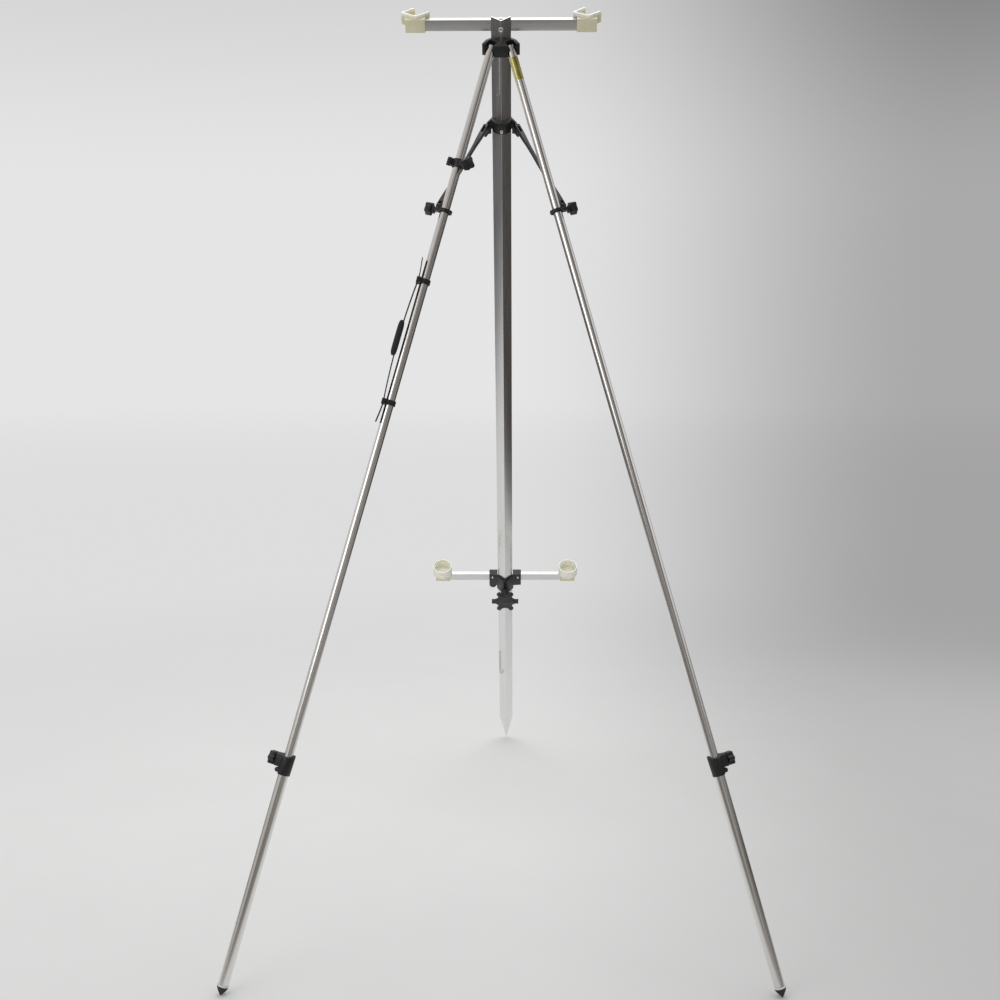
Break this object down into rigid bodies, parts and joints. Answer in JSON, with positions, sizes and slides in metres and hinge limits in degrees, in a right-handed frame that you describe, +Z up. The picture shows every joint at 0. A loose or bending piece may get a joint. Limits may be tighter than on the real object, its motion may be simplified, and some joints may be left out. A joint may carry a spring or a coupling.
{
  "type": "surf rod tripod",
  "caption": "Leaning folding stand for surf fishing rods: an angle post stuck in the ground, telescopic legs, and crossbars with rests above and cups below.",
  "frame": {"origin": "on the ground, at the middle of the bounding box", "axes": "+Z up, -Y towards the two legs (the side the picture was taken from), +X to the right seen from there"},
  "size_m": [0.9592, 1.5066, 1.6764],
  "materials": {
    "anodised": "satin",
    "aluminium": "bright, drawn lengthwise",
    "black": "moulded, slightly rough",
    "cream": "moulded, slightly see-through, glows faintly",
    "steel": "bright",
    "rubber": "matt",
    "webbing": "woven",
    "pale": "moulded"
  },
  "bodies": {
    "base": {"mast_angle": "anodised", "top_collar": "black", "leg_pin_left": "steel", "leg_pin_right": "steel", "spreader_hub": "black", "hub_screw": "steel", "strut_pin_left": "steel", "strut_pin_right": "steel", "bag_hook_upper": "steel", "bag_hook_lower": "steel", "crossbar_saddle": "black", "crossbar_bolt": "steel"},
    "upper_bar": {"upper_crossbar": "anodised", "rod_rest_left": "cream", "rod_rest_right": "cream"},
    "wing_nut": {"crossbar_wing_nut": "steel"},
    "accessory": {"accessory_clamp": "black"},
    "accessory_knob_body": {"accessory_knob": "black"},
    "bracket": {"lower_bracket": "black", "pressure_pad": "pale", "bar_screw_left": "steel", "bar_screw_right": "steel"},
    "star_knob_body": {"star_knob": "black"},
    "lower_bar": {"lower_crossbar": "anodised", "butt_cup_left": "cream", "butt_cup_right": "cream"},
    "thumb_knob_body": {"bar_thumb_knob": "black"},
    "leg_left": {"upper_leg_left": "aluminium", "leg_top_plug_left": "black", "carry_strap": "webbing", "strap_band_upper": "black", "strap_band_lower": "black", "strap_slider": "black"},
    "lower_leg_body_left": {"lower_leg_left": "aluminium", "leg_lock_left": "black", "foot_ring_left": "pale", "foot_tip_left": "rubber"},
    "leg_lock_knob_body_left": {"leg_lock_knob_left": "black"},
    "strut_body_left": {"strut_left": "black"},
    "strut_clamp_body_left": {"strut_clamp_left": "black", "clamp_pin_left": "steel"},
    "strut_clamp_knob_body_left": {"strut_clamp_knob_left": "black"},
    "leg_right": {"upper_leg_right": "aluminium", "leg_top_plug_right": "black"},
    "lower_leg_body_right": {"lower_leg_right": "aluminium", "leg_lock_right": "black", "foot_ring_right": "pale", "foot_tip_right": "rubber"},
    "leg_lock_knob_body_right": {"leg_lock_knob_right": "black"},
    "strut_body_right": {"strut_right": "black"},
    "strut_clamp_body_right": {"strut_clamp_right": "black", "clamp_pin_right": "steel"},
    "strut_clamp_knob_body_right": {"strut_clamp_knob_right": "black"}
  },
  "joints": [
    {"name": "leg_fold_left", "type": "hinge", "parent": "base", "child": "leg_left", "pos_m": [-0.017, -0.44447, 1.60212], "axis": [0.935, -0.2842, -0.2121], "range_deg": [0, 44]},
    {"name": "strut_fold_left", "type": "hinge", "parent": "base", "child": "strut_body_left", "pos_m": [-0.02897, -0.3502, 1.48343], "axis": [0.935, -0.2842, -0.2121], "range_deg": [0, 71.5]},
    {"name": "strut_clamp_turn_left", "type": "hinge", "parent": "strut_body_left", "child": "strut_clamp_body_left", "pos_m": [-0.10806, -0.49291, 1.32597], "axis": [-0.935, 0.2842, 0.2121], "range_deg": [0, 27.5]},
    {"name": "lower_leg_slide_left", "type": "slide", "parent": "leg_left", "child": "lower_leg_body_left", "axis": [0.2686, 0.1768, 0.9469], "range_m": [0, 0.28]},
    {"name": "leg_lock_knob_left", "type": "hinge", "parent": "lower_leg_body_left", "child": "leg_lock_knob_body_left", "pos_m": [-0.38147, -0.66689, 0.38552], "axis": [-0.935, 0.2842, 0.2121], "continuous": true},
    {"name": "strut_clamp_knob_left", "type": "hinge", "parent": "strut_clamp_body_left", "child": "strut_clamp_knob_body_left", "pos_m": [-0.11876, -0.49167, 1.32054], "axis": [-0.935, 0.2842, 0.2121], "continuous": true},
    {"name": "leg_fold_right", "type": "hinge", "parent": "base", "child": "leg_right", "pos_m": [0.017, -0.44447, 1.60212], "axis": [0.935, 0.2842, 0.2121], "range_deg": [0, 44]},
    {"name": "strut_fold_right", "type": "hinge", "parent": "base", "child": "strut_body_right", "pos_m": [0.02897, -0.3502, 1.48343], "axis": [0.935, 0.2842, 0.2121], "range_deg": [0, 71.5]},
    {"name": "strut_clamp_turn_right", "type": "hinge", "parent": "strut_body_right", "child": "strut_clamp_body_right", "pos_m": [0.10806, -0.49291, 1.32597], "axis": [-0.935, -0.2842, -0.2121], "range_deg": [0, 27.5]},
    {"name": "lower_leg_slide_right", "type": "slide", "parent": "leg_right", "child": "lower_leg_body_right", "axis": [-0.2686, 0.1768, 0.9469], "range_m": [0, 0.28]},
    {"name": "leg_lock_knob_right", "type": "hinge", "parent": "lower_leg_body_right", "child": "leg_lock_knob_body_right", "pos_m": [0.38147, -0.66689, 0.38552], "axis": [0.935, 0.2842, 0.2121], "continuous": true},
    {"name": "strut_clamp_knob_right", "type": "hinge", "parent": "strut_clamp_body_right", "child": "strut_clamp_knob_body_right", "pos_m": [0.11876, -0.49167, 1.32054], "axis": [0.935, 0.2842, 0.2121], "continuous": true},
    {"name": "crossbar_swivel", "type": "hinge", "parent": "base", "child": "upper_bar", "pos_m": [0, -0.44239, 1.64797], "axis": [0, 0.8014, 0.5982], "range_deg": [0, 90]},
    {"name": "wing_nut_turn", "type": "hinge", "parent": "base", "child": "wing_nut", "pos_m": [0, -0.43814, 1.65114], "axis": [0, 0.8014, 0.5982], "continuous": true},
    {"name": "accessory_slide", "type": "slide", "parent": "leg_left", "child": "accessory", "axis": [0.2686, 0.1768, 0.9469], "range_m": [-0.02, 0.02]},
    {"name": "accessory_knob_turn", "type": "hinge", "parent": "accessory", "child": "accessory_knob_body", "pos_m": [-0.06134, -0.49729, 1.3975], "axis": [0.6702, -0.7404, -0.0518], "continuous": true},
    {"name": "bracket_slide", "type": "slide", "parent": "base", "child": "bracket", "axis": [0, -0.5982, 0.8014], "range_m": [-0.14, 0.35]},
    {"name": "star_knob_turn", "type": "hinge", "parent": "bracket", "child": "star_knob_body", "pos_m": [0, 0.37106, 0.46447], "axis": [0, -0.8014, -0.5982], "continuous": true},
    {"name": "lower_bar_slide", "type": "slide", "parent": "bracket", "child": "lower_bar", "axis": [1, 0, 0], "range_m": [-0.09, 0.09]},
    {"name": "bar_thumb_knob_turn", "type": "hinge", "parent": "bracket", "child": "thumb_knob_body", "pos_m": [-0.0305, 0.4163, 0.49762], "axis": [0, 0.5982, -0.8014], "continuous": true}
  ],
  "couplings": [
    {"joint": "strut_fold_left", "follows": "leg_fold_left", "ratio": 1.598},
    {"joint": "strut_clamp_turn_left", "follows": "leg_fold_left", "ratio": 0.598},
    {"joint": "strut_fold_right", "follows": "leg_fold_right", "ratio": 1.598},
    {"joint": "strut_clamp_turn_right", "follows": "leg_fold_right", "ratio": 0.598}
  ]
}
